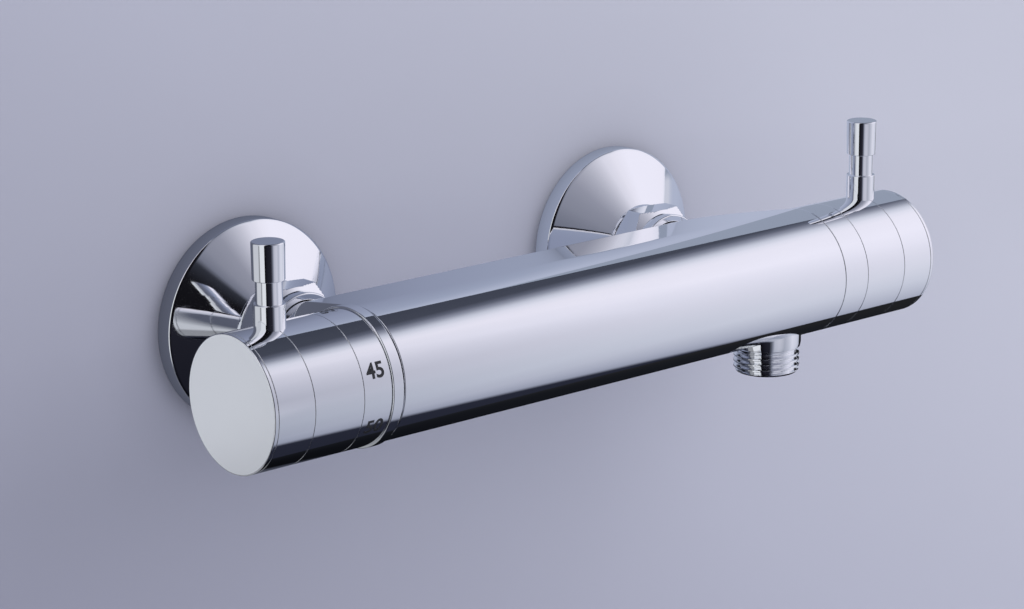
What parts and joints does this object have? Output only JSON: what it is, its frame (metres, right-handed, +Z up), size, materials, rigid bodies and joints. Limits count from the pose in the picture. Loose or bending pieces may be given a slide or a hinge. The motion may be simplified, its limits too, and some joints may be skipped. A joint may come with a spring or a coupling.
{
  "type": "thermostatic shower valve",
  "caption": "Exposed thermostatic shower bar valve on two wall unions, with a temperature handle at the left end, a flow handle at the right end and a hose outlet below.",
  "frame": {"origin": "midway between the axes of the two wall threads, on the wall plane", "axes": "+X along the bar from the temperature handle to the flow handle, +Y into the wall, +Z up"},
  "size_m": [0.2664, 0.1096, 0.0767],
  "materials": {
    "chrome": "mirror polished chrome plate",
    "satin_chrome": "satin chrome plate with black figures",
    "brass": "turned brass",
    "copper": "drawn copper cup",
    "stainless": "stainless spring steel",
    "rubber": "black rubber",
    "plastic": "moulded engineering plastic",
    "ceramic": "ground ceramic"
  },
  "bodies": {
    "root": {"valve_body": "chrome", "outlet_nipple": "chrome", "outlet_washer": "rubber", "hot_escutcheon": "chrome", "cold_escutcheon": "chrome", "hot_s_union": "chrome", "cold_s_union": "chrome", "hot_union_nut": "chrome", "cold_union_nut": "chrome", "hot_washer": "rubber", "cold_washer": "rubber", "hot_retaining_ring": "stainless", "cold_retaining_ring": "stainless", "hot_check_housing": "plastic", "cold_check_housing": "plastic", "hot_check_spring": "stainless", "cold_check_spring": "stainless", "cartridge_head": "plastic", "cartridge_sleeve": "plastic", "cartridge_seals": "rubber", "cartridge_nut": "brass", "return_spring": "stainless", "temp_stop_ring": "plastic", "trim_ring": "chrome", "scale_ring": "satin_chrome", "flow_housing": "brass", "flow_seals": "rubber", "flow_seat_seal": "rubber", "flow_fixed_disc": "ceramic", "flow_stop_ring": "plastic", "flow_ring": "chrome"},
    "temperature_handle": {"temp_handle_hub": "plastic", "temp_handle_sleeve": "chrome", "temp_handle_end": "chrome", "temp_handle_cap": "chrome", "temp_handle_screw": "stainless", "temp_lever": "chrome", "thermostat_spindle": "brass"},
    "shuttle": {"thermostat_shuttle": "stainless", "wax_element": "copper", "thermostat_plunger": "plastic"},
    "flow_handle": {"flow_handle_hub": "plastic", "flow_handle_sleeve": "chrome", "flow_handle_end": "chrome", "flow_handle_cap": "chrome", "flow_handle_screw": "stainless", "flow_lever": "chrome", "flow_spindle": "brass", "flow_circlip": "stainless", "flow_moving_disc": "ceramic"},
    "hot_poppet": {"hot_check_poppet": "plastic"},
    "cold_poppet": {"cold_check_poppet": "plastic"}
  },
  "joints": [
    {"name": "temperature_turn", "type": "hinge", "parent": "root", "child": "temperature_handle", "pos_m": [-0.1, -0.073, -0.0075], "axis": [1, 0, 0], "range_deg": [-130, 120]},
    {"name": "shuttle_slide", "type": "slide", "parent": "root", "child": "shuttle", "axis": [1, 0, 0], "range_m": [-0.0008, 0.0008], "deforming": ["return_spring"]},
    {"name": "flow_turn", "type": "hinge", "parent": "root", "child": "flow_handle", "pos_m": [0.102, -0.073, -0.0075], "axis": [1, 0, 0], "range_deg": [0, 90]},
    {"name": "hot_check", "type": "slide", "parent": "root", "child": "hot_poppet", "axis": [0, -1, 0], "range_m": [0, 0.002], "stiffness_N_per_m": 60, "springref_m": -0.002, "deforming": ["hot_check_spring"]},
    {"name": "cold_check", "type": "slide", "parent": "root", "child": "cold_poppet", "axis": [0, -1, 0], "range_m": [0, 0.002], "stiffness_N_per_m": 60, "springref_m": -0.002, "deforming": ["cold_check_spring"]}
  ],
  "couplings": [
    {"joint": "shuttle_slide", "follows": "temperature_turn", "m_per_rad": -0.00031831}
  ]
}
